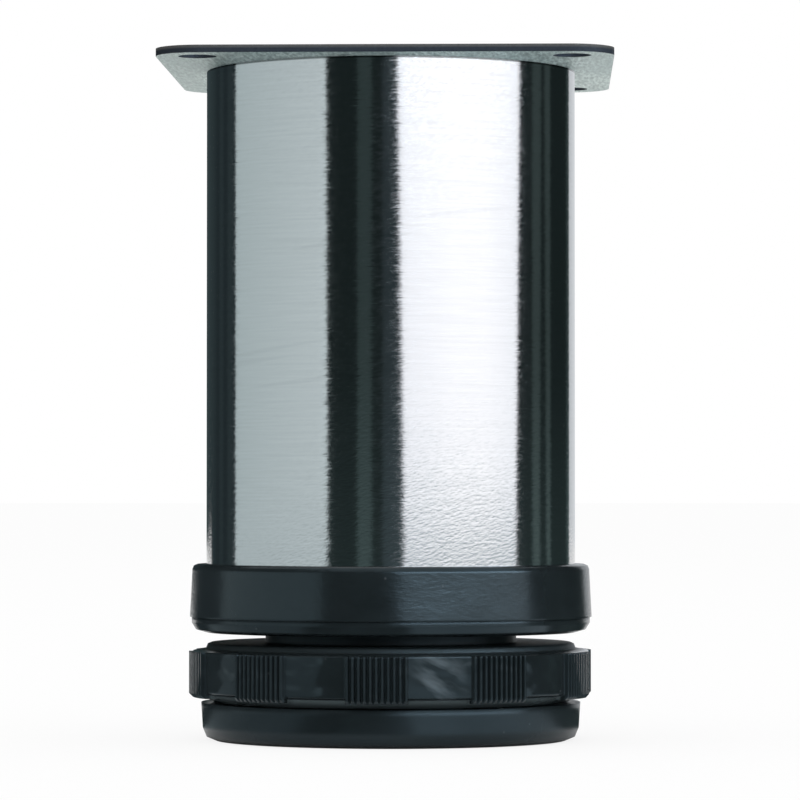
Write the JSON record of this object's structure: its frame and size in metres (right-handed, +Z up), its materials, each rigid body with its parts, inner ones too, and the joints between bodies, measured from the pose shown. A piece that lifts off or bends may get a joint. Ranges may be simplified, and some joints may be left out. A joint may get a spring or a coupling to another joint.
{
  "type": "sofa leg",
  "caption": "Round brushed steel furniture leg with a square screw-on plate, a black collar and a screw-adjustable black foot with ribbed grip pads.",
  "frame": {"origin": "middle of the face that stands on the floor", "axes": "+Z up along the tube to the plate, +X and +Y along the plate's sides"},
  "size_m": [0.06, 0.06, 0.0915],
  "materials": {
    "plate_steel": "dull galvanised sheet",
    "tube_steel": "bright, brushed round the girth",
    "collar_plastic": "moulded, half gloss",
    "foot_plastic": "moulded, satin",
    "base_plastic": "moulded, satin"
  },
  "bodies": {
    "leg": {"mounting_plate": "plate_steel", "tube": "tube_steel", "collar": "collar_plastic"},
    "glide": {"base_glide": "base_plastic"},
    "grip": {"grip_foot": "foot_plastic"}
  },
  "joints": [
    {"name": "foot_lift", "type": "slide", "parent": "leg", "child": "glide", "axis": [0, 0, -1], "range_m": [-0.0005, 0.016]},
    {"name": "foot_turn", "type": "hinge", "parent": "glide", "child": "grip", "pos_m": [0, 0, 0.01], "axis": [0, 0, -1], "range_deg": [-45, 1440]}
  ],
  "couplings": [
    {"joint": "foot_lift", "follows": "foot_turn", "m_per_rad": 0.00063662}
  ]
}
